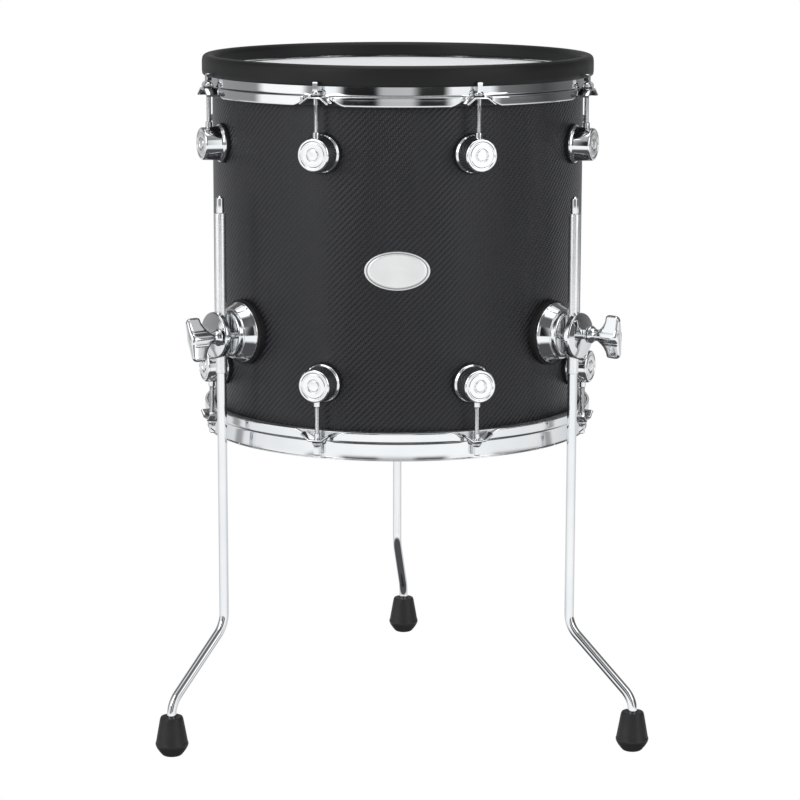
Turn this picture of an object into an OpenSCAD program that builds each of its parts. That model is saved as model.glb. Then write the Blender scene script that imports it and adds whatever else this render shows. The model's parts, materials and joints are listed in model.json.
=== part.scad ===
// Floor tom drum: a wrapped wooden shell with a mesh batter head under a rubber-covered
// chrome hoop, eight round lugs at each end, and three bent legs in round clamp brackets.
// Millimetres, +Z up. The feet stand on z = 0 and the drum's axis is upright.
// Angles around the drum are measured from the front (-Y), positive towards the right (+X).

/* [Shell] */
// Outer diameter of the shell with its wrap
shell_d = 355; // [350:0.5:358]
// Height of the shell from bearing edge to bearing edge
shell_h = 340; // [330:1:350]
// Thickness of the wooden shell
shell_t = 6; // [4:0.5:8]
// Height of the bottom bearing edge above the floor
shell_z = 291; // [288:1:300]
// Width of the oval badge
badge_w = 60; // [40:1:70]
// Height of the oval badge
badge_h = 35.5; // [24:0.5:44]

/* [Hoops and heads] */
// Number of lugs round each end
lug_n = 8; // [8:1:8]
// Radius of the circle that the tension rods stand on
rod_circle_r = 191; // [190.6:0.1:191.6]
// Thickness of the pressed steel hoops
hoop_t = 2.3; // [1.8:0.1:2.5]
// Top of the rubber cover above the bearing edge
cover_rise = 15.2; // [13:0.1:18]
// Outer radius of the rubber cover
cover_r = 187.3; // [187:0.1:188]
// Width of the top of the rubber cover
cover_w = 12.5; // [10:0.5:14]

/* [Lugs] */
// Distance of a lug's centre from the bearing edge
lug_inset = 64.6; // [58:0.1:72]
// Diameter of a lug's front face
lug_d = 30; // [26:0.5:32]
// How far a lug stands off its gasket
lug_h = 19.8; // [18:0.1:22]

/* [Legs] */
// Angle from the front to each front leg
leg_angle = 53.2; // [48:0.1:58]
// Distance of a leg's upright part from the drum's axis
leg_r = 204.3; // [204:0.1:204.6]
// Diameter of the leg rod
leg_d = 9; // [8.6:0.1:9.2]
// How far the foot stands outside the upright part
leg_offset = 65; // [50:1:80]
// Slope of the leg between its two bends, from upright
leg_slope = 45; // [38:1:50]
// Height of the clamp brackets' centres
bracket_z = 393.5; // [385:0.5:400]
// Top of the leg rod above the floor
leg_top = 523; // [518:1:530]
// Top of the knurled sleeve above the floor
sleeve_top = 507; // [490:1:512]
// Bottom of the knurled sleeve above the floor
sleeve_bottom = 357.5; // [350:0.5:362]
// Height of a rubber foot
foot_h = 38; // [34:1:40]
// Largest diameter of a rubber foot
foot_d = 31; // [28:0.5:33]

/* [Hidden] */
$fn = 96;

// Shell
wrap_t = 0.5;
shell_r = shell_d / 2;
wood_r = shell_r - wrap_t;
inner_r = wood_r - shell_t;
edge_top = shell_z + shell_h;
mid_z = shell_z + shell_h / 2;
edge_cut = 4;
wrap_margin = 2.5;

// Hoop profile, measured down from the bearing edge of the top hoop
lip_rise = 4.6;
lip_roll = 1;
wall_r = shell_r + 7.1;
skirt_r = shell_r + 10.2;
ear_drop = 12.4;
skirt_drop = 21.7;
ear_r = 197.5;
ear_top_w = 13;
ear_foot_w = 28;
head_t = 0.4;
head_gap = 0.25;
ring_gap = 0.3;
ring_h = 6.4;

// Tension rods, their washers and their nuts
thread_r = 2.3;
shank_r = 2.6;
rod_hole_r = 3.2;
key_w = 4.8;
rod_top_rise = 0.7;
collar_drop = 9.9;
shank_end_drop = 20;
rod_end_drop = 69;
nut_r = 3.15;
nut_rise = 20.1;
nut_depth = 6;
running_gap = 0.08;

// Lugs and their screws
gasket_face_r = shell_r + 1.8;
lug_flange_r = 18;
lug_gasket_r = 18.6;
lug_screw_gap = 9;
screw_r = 2.4;
screw_hole_r = 2.7;
washer_t = 1;

// Leg brackets, in millimetres from the drum's axis along the bracket's own radius
bracket_seat_r = shell_r + 3.6;
base_r = 28.5;
base_top_r = 23;
base_out = 193.6;
boss_r = 21.5;
boss_out = 198.3;
cap_in = 206.9;
cap_rim_out = 213.4;
cap_out = 215.8;
stud_r = 3;
stud_side = 13;
stud_end = 240;
dowel_r = 2;
dowel_side = -15;
cap_dowel_r = 2.3;
bracket_screw_rise = 18;
sleeve_wall = 0.9;
sleeve_r = leg_d / 2 + sleeve_wall;
clamp_gap = 0.3;
knob_in = cap_out + 0.3;
knob_end = 247.5;

// Legs: the left, the right and the rear one
LEFT = 0;
RIGHT = 1;
REAR = 2;
bracket_az = [-leg_angle, leg_angle, 180];
foot_turn = [6.5, 13.2, -6.3];
wing_turn = [18, 4, 0];
bend_r = 28;
elbow_inset = 0.04;
elbow_lap = 0.5;
tip_r = 3.7;
tip_cone = 2.4;
bend_in = bend_r * (1 - cos(leg_slope));
slope_len = (leg_offset - 2 * bend_in) / sin(leg_slope);
bend_top_z = foot_h + 2 * bend_r * sin(leg_slope) + slope_len * cos(leg_slope);

// Trigger inside the shell
beam_az = -22.5;
beam_t = 2.5;
beam_w = 36;
beam_z = 588;
tab_drop = 37;
sensor_r = 20;
sensor_h = 4;
jack_az = 135;
jack_bore_r = 3.25;
jack_mouth_r = shell_r + 6;
cable_r = 1.75;
cable_sides = 8;

// The drum's axis stands off the middle of the whole object, because the feet reach further
// to the back and to the right than anything does to the front and to the left.
function toward(az, r) = [r * sin(az), -r * cos(az)];
function foot_xy(i) = toward(bracket_az[i], leg_r) + toward(bracket_az[i] + foot_turn[i], leg_offset);
lug_face_r = gasket_face_r + lug_h;
front_y = -(lug_face_r * cos(180 / lug_n) + lug_d / 2 * sin(180 / lug_n));
middle_x = (foot_xy(LEFT)[0] + foot_xy(RIGHT)[0]) / 2;
middle_y = (front_y + foot_xy(REAR)[1] + foot_d / 2) / 2;

// ---- helpers ----

// Puts the drum's own frame into the object's frame
module drum() {
  translate([-middle_x, -middle_y, 0]) children();
}

// Local +X points outwards at an angle round the drum, +Y runs round it, +Z is up
module at_angle(az, z = 0) {
  translate([0, 0, z]) rotate([0, 0, az - 90]) children();
}

// Turns a shape made round Z so that its +Z points outwards, starting r from the drum's axis
module outward(r, side = 0, rise = 0) {
  translate([r, side, rise]) rotate([0, 90, 0]) children();
}

module tube(r_in, r_out, z_low, z_high) {
  rotate_extrude($fn = 180) translate([r_in, z_low]) square([r_out - r_in, z_high - z_low]);
}

module round_bar(r, length) {
  cylinder(r = r, h = length);
}

module washer(r_in, r_out, t) {
  difference() {
    cylinder(r = r_out, h = t);
    translate([0, 0, -1]) cylinder(r = r_in, h = t + 2);
  }
}

// Turns a top-end shape over, to make its twin for the bottom end
module bottom_end() {
  translate([0, 0, 2 * mid_z]) mirror([0, 0, 1]) children();
}

module at_each_lug() {
  for (i = [0:lug_n - 1]) at_angle((i + 0.5) * 360 / lug_n) children();
}

module at_both_ends() {
  children();
  bottom_end() children();
}

module at_each_bracket() {
  for (az = bracket_az) at_angle(az, bracket_z) children();
}

module on_bracket(i) {
  at_angle(bracket_az[i], bracket_z) children();
}

// ---- shell ----

module screw_holes(r) {
  at_both_ends() at_each_lug() for (s = [-1, 1])
    outward(inner_r - 5, 0, edge_top - lug_inset + s * lug_screw_gap) cylinder(r = r, h = 20);
  at_each_bracket() for (s = [-1, 1])
    outward(inner_r - 5, 0, s * bracket_screw_rise) cylinder(r = r + 0.6, h = 20);
  at_angle(jack_az, mid_z) outward(inner_r - 5) cylinder(r = 9, h = 20);
}

module shell() {
  color("saddlebrown") drum() difference() {
    rotate_extrude($fn = 180) polygon([
      [inner_r, shell_z + edge_cut], [wood_r - 1.5, shell_z], [wood_r, shell_z + 1],
      [wood_r, edge_top - 1], [wood_r - 1.5, edge_top], [inner_r, edge_top - edge_cut]
    ]);
    screw_holes(screw_hole_r);
  }
}

module shell_wrap() {
  color([0.12, 0.12, 0.13]) drum() difference() {
    tube(wood_r, shell_r, shell_z + wrap_margin, edge_top - wrap_margin);
    screw_holes(screw_hole_r);
  }
}

// An ellipse with its axes along x and y
function oval(w, h, n = 72) = [for (i = [0:n - 1]) [w / 2 * cos(360 * i / n), h / 2 * sin(360 * i / n)]];

module badge_layer(w, h, r_in, r_out) {
  intersection() {
    tube(r_in, r_out, mid_z - h, mid_z + h);
    at_angle(0, mid_z) translate([r_in - 10, 0, 0]) rotate([90, 0, 90])
      linear_extrude(30) polygon(oval(w, h));
  }
}

module badge_plate() {
  rim = 1.6;
  color("gainsboro") drum() difference() {
    badge_layer(badge_w, badge_h, shell_r + 0.05, shell_r + 1.3);
    badge_layer(badge_w - 2 * rim, badge_h - 2 * rim, shell_r + 0.9, shell_r + 3);
  }
}

// ---- hoops and heads ----

// Front view of one ear: a flat top that slopes down on both sides
function ear_outline(grow) = [
  [-ear_foot_w / 2 - grow, -skirt_drop], [-ear_top_w / 2 - grow, -ear_drop + grow],
  [ear_top_w / 2 + grow, -ear_drop + grow], [ear_foot_w / 2 + grow, -skirt_drop]
];

module ear_block(grow, r_in, r_out, cut = 0) {
  translate([r_in, 0, edge_top - cut]) rotate([90, 0, 90])
    linear_extrude(r_out - r_in) polygon(ear_outline(grow));
}

module hoop() {
  t = hoop_t;
  corner = 1.2;
  difference() {
    union() {
      rotate_extrude($fn = 180) translate([0, edge_top]) polygon([
        [wall_r - t, lip_rise], [wall_r - t, -ear_drop], [skirt_r - t, -ear_drop - t],
        [skirt_r - t, -skirt_drop], [skirt_r, -skirt_drop], [skirt_r, -ear_drop],
        [wall_r + corner, -ear_drop], [wall_r, -ear_drop + corner], [wall_r, lip_rise - 1.4],
        [wall_r + lip_roll, lip_rise - 0.7], [wall_r + lip_roll, lip_rise]
      ]);
      at_each_lug() ear_block(0, skirt_r - t, ear_r);
    }
    at_each_lug() ear_block(-t, skirt_r - t - 1, ear_r + 1, 0.01);
    at_each_lug() translate([rod_circle_r, 0, edge_top - ear_drop - t - 2])
      cylinder(r = rod_hole_r, h = t + 4);
  }
}

module top_hoop() {
  color("silver") drum() hoop();
}

module bottom_hoop() {
  color("silver") drum() bottom_end() hoop();
}

module rim_cover() {
  gap = 0.2;
  r_out = cover_r;
  r_in = cover_r - cover_w;
  top = edge_top + cover_rise;
  round_r = 4;
  bottom = edge_top - 3.6;
  under = edge_top + 2;
  wall_in = wall_r - hoop_t - gap;
  lip = edge_top + lip_rise;
  color([0.08, 0.08, 0.08]) drum() rotate_extrude($fn = 180) polygon(concat(
    [[wall_r + gap, bottom], [r_out, bottom]],
    [for (a = [0:15:90]) [r_out - round_r + round_r * cos(a), top - round_r + round_r * sin(a)]],
    [for (a = [90:15:180]) [r_in + round_r + round_r * cos(a), top - round_r + round_r * sin(a)]],
    [[r_in, under + 1], [r_in + 1, under], [wall_in, under], [wall_in, lip + gap],
     [wall_r + lip_roll + gap, lip + gap], [wall_r + lip_roll + gap, lip - 1.6],
     [wall_r + gap, lip - 2.4]]
  ));
}

// The ring at a head's edge hangs just under the step inside the hoop
ring_top = edge_top - ear_drop - hoop_t - ring_gap;

module head_film() {
  r_in = shell_r + head_gap;
  film_end = ring_top - ring_h + 1.5;
  rotate_extrude($fn = 180) polygon([
    [0, edge_top], [r_in, edge_top], [r_in, film_end], [r_in + head_t, film_end],
    [r_in + head_t, edge_top + head_t], [0, edge_top + head_t]
  ]);
}

module head_ring() {
  tube(shell_r + head_gap + head_t, skirt_r - hoop_t - 0.6, ring_top - ring_h, ring_top);
}

module batter_head() {
  color("white") drum() head_film();
}

module batter_head_ring() {
  color("silver") drum() head_ring();
}

module resonant_head() {
  color([0.1, 0.1, 0.1]) drum() bottom_end() head_film();
}

module resonant_head_ring() {
  color("silver") drum() bottom_end() head_ring();
}

// ---- lugs ----

module lug() {
  face_r = lug_d / 2;
  difference() {
    outward(gasket_face_r, 0, edge_top - lug_inset) rotate_extrude() polygon([
      [0, 0], [lug_flange_r, 0], [lug_flange_r, 1.6], [lug_flange_r - 1.2, 2.6],
      [face_r + 1.2, 3.2], [face_r + 0.3, lug_h - 1.4], [face_r - 0.6, lug_h],
      [face_r - 2.4, lug_h], [face_r - 3, lug_h - 1], [face_r - 4.2, lug_h - 1],
      [face_r - 4.6, lug_h - 0.3], [6.2, lug_h - 0.3], [5.8, lug_h - 1], [5, lug_h - 1],
      [4.6, lug_h - 0.2], [0, lug_h]
    ]);
    translate([rod_circle_r, 0, edge_top - rod_end_drop - 4]) cylinder(r = nut_r + 0.03, h = 40);
    for (s = [-1, 1]) outward(gasket_face_r - 1, 0, edge_top - lug_inset + s * lug_screw_gap)
      cylinder(r = screw_r + 0.05, h = 8.5);
  }
}

module top_lugs() {
  color("silver") drum() at_each_lug() lug();
}

module bottom_lugs() {
  color("silver") drum() bottom_end() at_each_lug() lug();
}

// A pad between the round shell and a flat seat
module pad(r, seat_r, rise, hole_gap, hole_r) {
  difference() {
    outward(shell_r - 4, 0, rise) cylinder(r = r, h = seat_r - shell_r + 4);
    tube(0, shell_r + 0.05, rise - r - 1, rise + r + 1);
    for (s = [-1, 1]) outward(shell_r - 5, 0, rise + s * hole_gap) cylinder(r = hole_r, h = 12);
  }
}

module lug_gaskets() {
  color([0.1, 0.1, 0.1]) drum() at_both_ends() at_each_lug()
    pad(lug_gasket_r, gasket_face_r, edge_top - lug_inset, lug_screw_gap, screw_hole_r);
}

module swivel_nuts() {
  color("silver") drum() at_both_ends() at_each_lug()
    translate([rod_circle_r, 0, edge_top - lug_inset - nut_depth])
      washer(thread_r + running_gap, nut_r, nut_rise + nut_depth);
}

// The screws at the two ends of the beam sit on its tabs, so they stand further in
function at_beam(i) = i == 3 || i == 7;
function seat_in(i, top) = inner_r - 0.1 - (top && at_beam(i) ? beam_t + 0.2 : 0);

module each_lug_screw(top) {
  for (i = [0:lug_n - 1], s = [-1, 1]) at_angle((i + 0.5) * 360 / lug_n)
    outward(seat_in(i, top), 0, edge_top - lug_inset + s * lug_screw_gap) children();
}

module lug_screw() {
  head_r = 4.5;
  head_h = 3;
  length = 16.4;
  translate([0, 0, -washer_t]) round_bar(screw_r, length);
  translate([0, 0, -washer_t - head_h]) cylinder(r1 = head_r - 1, r2 = head_r, h = head_h);
}

module lug_screws() {
  color("silver") drum() {
    each_lug_screw(true) lug_screw();
    bottom_end() each_lug_screw(false) lug_screw();
  }
}

module lug_screw_washers() {
  color("silver") drum() {
    each_lug_screw(true) translate([0, 0, -washer_t]) washer(screw_hole_r, 6, washer_t - 0.05);
    bottom_end() each_lug_screw(false)
      translate([0, 0, -washer_t]) washer(screw_hole_r, 6, washer_t - 0.05);
  }
}

// ---- tension rods ----

nylon_z = edge_top - ear_drop + 0.1;
nylon_t = 1.2;
steel_z = nylon_z + nylon_t + 0.05;

module rod_washers_nylon() {
  color([0.1, 0.1, 0.1]) drum() at_both_ends() at_each_lug()
    translate([rod_circle_r, 0, nylon_z]) washer(rod_hole_r, 4.9, nylon_t);
}

module rod_washers_steel() {
  color("silver") drum() at_both_ends() at_each_lug()
    translate([rod_circle_r, 0, steel_z]) washer(rod_hole_r - 0.2, 4.6, washer_t - 0.1);
}

module tension_rod() {
  collar_z = edge_top - collar_drop;
  head_z = edge_top + rod_top_rise;
  translate([0, 0, edge_top - rod_end_drop]) round_bar(thread_r, rod_end_drop - shank_end_drop);
  translate([0, 0, edge_top - shank_end_drop]) round_bar(shank_r, shank_end_drop - collar_drop);
  translate([0, 0, collar_z]) cylinder(r1 = 4.2, r2 = 3.6, h = 1.8);
  translate([-key_w / 2, -key_w / 2, collar_z]) cube([key_w, key_w, head_z - collar_z]);
}

module top_rod(i) {
  color("silver") drum() at_angle((i - 0.5) * 360 / lug_n)
    translate([rod_circle_r, 0, 0]) tension_rod();
}

module bottom_rod(i) {
  color("silver") drum() bottom_end() at_angle((i - 0.5) * 360 / lug_n)
    translate([rod_circle_r, 0, 0]) tension_rod();
}

// ---- leg brackets ----

module bracket_body() {
  difference() {
    union() {
      outward(bracket_seat_r) rotate_extrude() polygon([
        [0, 0], [base_r, 0], [base_r, 2.4], [base_r - 1, 4],
        [base_top_r, base_out - bracket_seat_r], [0, base_out - bracket_seat_r]
      ]);
      outward(base_out - 1) rotate_extrude() polygon([
        [0, 0], [boss_r, 0], [boss_r, boss_out - base_out - 0.2], [boss_r - 1.2, boss_out - base_out + 1],
        [0, boss_out - base_out + 1]
      ]);
      outward(boss_out - 1, dowel_side) round_bar(dowel_r, cap_rim_out - boss_out - 1);
    }
    for (s = [-1, 1]) outward(bracket_seat_r - 1, 0, s * bracket_screw_rise)
      cylinder(r = 3.05, h = 9);
    outward(bracket_seat_r + 4, stud_side) cylinder(r = stud_r + 0.03, h = 20);
  }
}

module leg_brackets() {
  color("silver") drum() at_each_bracket() bracket_body();
}

module bracket_gaskets() {
  color([0.1, 0.1, 0.1]) drum() for (az = bracket_az) at_angle(az)
    pad(30.5, bracket_seat_r, bracket_z, bracket_screw_rise, screw_hole_r + 0.6);
}

module bracket_screws() {
  head_r = 5.4;
  head_h = 3.6;
  length = 17.5;
  color("silver") drum() at_each_bracket() for (s = [-1, 1])
    outward(inner_r - 0.4, 0, s * bracket_screw_rise) {
      round_bar(3, length);
      translate([0, 0, -head_h]) cylinder(r1 = head_r - 1.2, r2 = head_r, h = head_h);
    }
}

module clamp_studs() {
  color("silver") drum() at_each_bracket()
    outward(bracket_seat_r + 4, stud_side) round_bar(stud_r, stud_end - bracket_seat_r - 4);
}

module clamp_cap(i) {
  color("silver") drum() on_bracket(i) difference() {
    outward(cap_in) rotate_extrude() polygon([
      [0, 0], [boss_r, 0], [boss_r, cap_rim_out - cap_in - 1], [boss_r - 1, cap_rim_out - cap_in],
      [14, cap_out - cap_in - 0.7], [7, cap_out - cap_in - 0.1], [0, cap_out - cap_in]
    ]);
    outward(cap_in - 1, stud_side) cylinder(r = stud_r + running_gap, h = 20);
    outward(cap_in - 1, dowel_side) cylinder(r = cap_dowel_r, h = cap_rim_out - cap_in);
    translate([leg_r, 0, -boss_r - 1]) cylinder(r = sleeve_r + clamp_gap, h = 2 * boss_r + 2);
  }
}

// Half of the wing's outline: out from the neck, round the corner and back to the middle
function wing_half(reach, half_h, neck, corner) = concat(
  [for (a = [0:15:75]) [reach * 0.55 * sin(a) / sin(75), neck + (half_h - neck - corner) * (1 - cos(a))]],
  [for (a = [150:-25:0]) [reach - corner + corner * cos(a), half_h - corner + corner * sin(a)]]
);

module wing_knob(i) {
  neck_r = 6.3;
  half_h = 20.5;
  wing_from = knob_in + 8;
  reach = knob_end - wing_from;
  half = wing_half(reach, half_h, 3.5, 5);
  color("silver") drum() on_bracket(i) translate([0, stud_side, 0]) rotate([wing_turn[i], 0, 0])
    difference() {
      union() {
        outward(knob_in) rotate_extrude() polygon([
          [0, 0], [8.2, 0], [7.9, 1.4], [neck_r, 3.4], [neck_r - 0.6, 9], [neck_r, knob_end - knob_in - 0.6],
          [neck_r - 0.6, knob_end - knob_in], [0, knob_end - knob_in]
        ]);
        intersection() {
          translate([wing_from, 0, 0]) rotate([90, 0, 0]) translate([0, 0, -7]) linear_extrude(14)
            polygon(concat(half, [for (j = [len(half) - 1:-1:0]) [half[j][0], -half[j][1]]]));
          outward(wing_from - 1) linear_extrude(40) polygon(oval(50, 12.6));
        }
      }
      outward(knob_in - 1) cylinder(r = stud_r + running_gap, h = stud_end - knob_in + 1.5);
    }
}

// ---- legs ----

module leg_sleeve(i) {
  color("gainsboro") drum() at_angle(bracket_az[i]) translate([leg_r, 0, sleeve_bottom])
    washer(leg_d / 2 + running_gap, sleeve_r, sleeve_top - sleeve_bottom);
}

// An elbow that starts upright at the origin and turns towards +X below it. It is a hair
// thinner than the straight stretches, which reach a little way over its ends.
module elbow(turn) {
  translate([bend_r, 0, 0]) rotate([-90, 0, 0]) rotate([0, 0, 180 - turn])
    rotate_extrude(angle = turn) translate([bend_r, 0]) circle(r = leg_d / 2 - elbow_inset, $fn = 48);
}

module leg_rod_shape() {
  r = leg_d / 2;
  drop = bend_r * sin(leg_slope);
  slope_bottom = [bend_in + slope_len * sin(leg_slope), 0, bend_top_z - drop - slope_len * cos(leg_slope)];
  rod_bottom = 7;
  translate([0, 0, bend_top_z - elbow_lap])
    cylinder(r = r, h = sleeve_top - 0.5 - bend_top_z + elbow_lap);
  translate([0, 0, bend_top_z]) elbow(leg_slope);
  translate([bend_in, 0, bend_top_z - drop]) rotate([0, 180 - leg_slope, 0])
    translate([0, 0, -elbow_lap]) cylinder(r = r, h = slope_len + 2 * elbow_lap);
  translate(slope_bottom + [bend_in, 0, -drop]) rotate([0, 0, 180]) mirror([0, 0, 1]) elbow(leg_slope);
  translate([leg_offset, 0, rod_bottom])
    cylinder(r = r, h = slope_bottom[2] - drop - rod_bottom + elbow_lap);
  translate([0, 0, sleeve_top - 1]) cylinder(r = tip_r, h = leg_top - sleeve_top + 1 - tip_cone);
  translate([0, 0, leg_top - tip_cone]) cylinder(r1 = tip_r, r2 = 0.5, h = tip_cone);
}

module on_leg(i) {
  at_angle(bracket_az[i]) translate([leg_r, 0, 0]) rotate([0, 0, foot_turn[i]]) children();
}

module leg_rod(i) {
  color("silver") drum() on_leg(i) leg_rod_shape();
}

module foot(i) {
  wide = foot_d / 2;
  color([0.1, 0.1, 0.1]) drum() on_leg(i) translate([leg_offset, 0, 0]) rotate_extrude() polygon([
    [0, 0], [8.6, 0], [9.6, 0.6], [12.8, 4.2], [15, 9.4], [wide, 12.4], [wide, 13.8], [14.9, 15.4],
    [10.8, foot_h - 1.4], [9.8, foot_h - 0.2], [leg_d / 2 + 0.05, foot_h - 0.2],
    [leg_d / 2 + 0.05, 6.9], [0, 6.9]
  ]);
}

// ---- trigger ----

module trigger_beam() {
  tab_r = inner_r - 0.2;
  tab_low = beam_z - tab_drop;
  color("silver") drum() difference() {
    union() {
      intersection() {
        at_angle(beam_az) translate([-inner_r, -beam_w / 2, beam_z]) cube([2 * inner_r, beam_w, beam_t]);
        cylinder(r = tab_r, h = 900, $fn = 180);
      }
      intersection() {
        tube(tab_r - beam_t, tab_r, tab_low, beam_z + 0.5);
        at_angle(beam_az) translate([-inner_r, -beam_w / 2, tab_low - 1])
          cube([2 * inner_r, beam_w, tab_drop + 4]);
      }
    }
    for (turn = [0, 180], s = [-1, 1]) at_angle(beam_az + turn)
      outward(inner_r - 10, 0, edge_top - lug_inset + s * lug_screw_gap)
        cylinder(r = screw_hole_r, h = 20);
  }
}

module trigger_sensor() {
  color("goldenrod") drum() translate([0, 0, beam_z + beam_t]) cylinder(r = sensor_r, h = sensor_h);
}

module trigger_cone() {
  low = beam_z + beam_t + sensor_h;
  color("dimgray") drum() translate([0, 0, low])
    cylinder(r1 = sensor_r - 1, r2 = 9, h = edge_top - 0.2 - low);
}

module jack_plate() {
  half = 22;
  seat = shell_r + 3.2;
  color([0.1, 0.1, 0.1]) drum() difference() {
    at_angle(jack_az, mid_z) translate([shell_r - 4, -half, -half])
      cube([seat - shell_r + 4, 2 * half, 2 * half]);
    tube(0, shell_r + 0.05, mid_z - half - 1, mid_z + half + 1);
    at_angle(jack_az, mid_z) {
      outward(shell_r - 5) cylinder(r = 5, h = 20);
      for (s = [-1, 1], t = [-1, 1]) outward(shell_r - 5, s * 16.5, t * 16.5) cylinder(r = 1.7, h = 20);
    }
  }
}

module jack_screws() {
  color("silver") drum() at_angle(jack_az, mid_z) for (s = [-1, 1], t = [-1, 1])
    outward(shell_r + 3.3, s * 16.5, t * 16.5) {
      cylinder(r1 = 3.2, r2 = 2.4, h = 1.6);
      translate([0, 0, -3.9]) round_bar(1.6, 4);
    }
}

module output_jack() {
  nut_z = shell_r + 3.3;
  color("silver") drum() at_angle(jack_az, mid_z) difference() {
    union() {
      outward(inner_r - 8) round_bar(4.8, jack_mouth_r - inner_r + 8);
      outward(nut_z) cylinder(r = 7.4, h = 1.8, $fn = 6);
      translate([inner_r - 34, -8, -8]) cube([27, 16, 16]);
    }
    outward(inner_r - 28) cylinder(r = jack_bore_r, h = 60);
  }
}

// The lead from the sensor to the jack: along the top of the beam, then down the wall.
// Its points are in the drum's frame, as [angle round the drum, distance from the axis, height].
cable_route = [
  [157.5, 20.2, 592.5], [157.5, 45, 592.5], [157.5, 75, 592.5], [156, 105, 593], [152, 130, 594],
  [147, 147, 593], [144, 157, 583], [142, 161, 565], [140, 162, 545], [138, 162, 525],
  [136, 160, 505], [135, 155, 487], [135, 151, 476], [135, 150, 469.2]
];

function route_point(p) = [p[1] * sin(p[0]), -p[1] * cos(p[0]), p[2]];

// A smooth curve through the points, two steps to a span
function blend(a, b, c, d, t) = 0.5 * (2 * b + (c - a) * t + (2 * a - 5 * b + 4 * c - d) * t * t
  + (3 * b - a - 3 * c + d) * t * t * t);
function smooth(points, steps) = let (n = len(points)) concat([
  for (i = [0:n - 2], s = [0:steps - 1])
    blend(points[max(i - 1, 0)], points[i], points[i + 1], points[min(i + 2, n - 1)], s / steps)
], [points[n - 1]]);
function unit(v) = v / norm(v);
function tangent(points, i) = unit(points[min(i + 1, len(points) - 1)] - points[max(i - 1, 0)]);

// One ring of points square to the path, turned by a fixed guide direction
function ring_at(points, i, r, sides) = let (
  along = tangent(points, i),
  across = unit(cross(along, unit([0.35, 0.9, 0.25]))),
  over = cross(along, across)
) [for (k = [0:sides - 1]) points[i] + r * (across * cos(360 * k / sides) + over * sin(360 * k / sides))];

module sweep(points, r, sides) {
  n = len(points);
  rings = [for (i = [0:n - 1]) each ring_at(points, i, r, sides)];
  polyhedron(points = rings, faces = concat(
    [[for (k = [0:sides - 1]) k]],
    [for (i = [0:n - 2], k = [0:sides - 1]) let (a = i * sides, b = a + sides, m = (k + 1) % sides)
      each [[a + k, b + k, b + m], [a + k, b + m, a + m]]],
    [[for (k = [sides - 1:-1:0]) (n - 1) * sides + k]]
  ));
}

module trigger_cable() {
  color([0.15, 0.15, 0.15]) drum()
    sweep(smooth([for (p = cable_route) route_point(p)], 3), cable_r, cable_sides);
}

shell();
shell_wrap();
badge_plate();
top_hoop();
rim_cover();
batter_head();
batter_head_ring();
bottom_hoop();
resonant_head();
resonant_head_ring();
top_lugs();
bottom_lugs();
lug_gaskets();
swivel_nuts();
lug_screws();
lug_screw_washers();
rod_washers_steel();
rod_washers_nylon();
top_rod(1);  // top_rod_1
top_rod(2);  // top_rod_2
top_rod(3);  // top_rod_3
top_rod(4);  // top_rod_4
top_rod(5);  // top_rod_5
top_rod(6);  // top_rod_6
top_rod(7);  // top_rod_7
top_rod(8);  // top_rod_8
bottom_rod(1);  // bottom_rod_1
bottom_rod(2);  // bottom_rod_2
bottom_rod(3);  // bottom_rod_3
bottom_rod(4);  // bottom_rod_4
bottom_rod(5);  // bottom_rod_5
bottom_rod(6);  // bottom_rod_6
bottom_rod(7);  // bottom_rod_7
bottom_rod(8);  // bottom_rod_8
leg_brackets();
bracket_gaskets();
bracket_screws();
clamp_studs();
clamp_cap(LEFT);  // left_clamp_cap
wing_knob(LEFT);  // left_wing_knob
leg_sleeve(LEFT);  // left_leg_sleeve
leg_rod(LEFT);  // left_leg_rod
foot(LEFT);  // left_foot
clamp_cap(RIGHT);  // right_clamp_cap
wing_knob(RIGHT);  // right_wing_knob
leg_sleeve(RIGHT);  // right_leg_sleeve
leg_rod(RIGHT);  // right_leg_rod
foot(RIGHT);  // right_foot
clamp_cap(REAR);  // rear_clamp_cap
wing_knob(REAR);  // rear_wing_knob
leg_sleeve(REAR);  // rear_leg_sleeve
leg_rod(REAR);  // rear_leg_rod
foot(REAR);  // rear_foot
trigger_beam();
trigger_sensor();
trigger_cone();
jack_plate();
jack_screws();
output_jack();
trigger_cable();
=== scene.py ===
import json
import math

import bmesh
import bpy
from mathutils import Matrix, Vector


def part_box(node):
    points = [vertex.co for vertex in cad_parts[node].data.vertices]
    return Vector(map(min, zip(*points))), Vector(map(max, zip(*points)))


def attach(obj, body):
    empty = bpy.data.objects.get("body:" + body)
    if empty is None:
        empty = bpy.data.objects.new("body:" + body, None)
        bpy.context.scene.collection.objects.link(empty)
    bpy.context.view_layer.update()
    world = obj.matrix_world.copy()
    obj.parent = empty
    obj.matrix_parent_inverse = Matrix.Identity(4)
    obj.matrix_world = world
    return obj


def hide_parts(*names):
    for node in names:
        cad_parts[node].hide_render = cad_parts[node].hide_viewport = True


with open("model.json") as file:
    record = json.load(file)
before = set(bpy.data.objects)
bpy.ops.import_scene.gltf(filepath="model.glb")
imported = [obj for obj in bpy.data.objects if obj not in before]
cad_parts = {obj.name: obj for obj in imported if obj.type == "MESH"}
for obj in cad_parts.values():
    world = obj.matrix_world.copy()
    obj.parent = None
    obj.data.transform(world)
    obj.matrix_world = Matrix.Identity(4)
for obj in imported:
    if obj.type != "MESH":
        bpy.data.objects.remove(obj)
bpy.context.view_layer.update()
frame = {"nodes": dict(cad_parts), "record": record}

MM = 0.001
NODES = frame["nodes"]
RECORD = frame["record"]
BODY_OF = {n: b for b, members in RECORD["behaviour"]["bodies"].items() for n in members}
SLOT_OF = {p["node"]: p["material_slot"] for p in RECORD["subparts"]}

# ---- places in millimetres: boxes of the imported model, then the dimensions that no box gives ----


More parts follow.
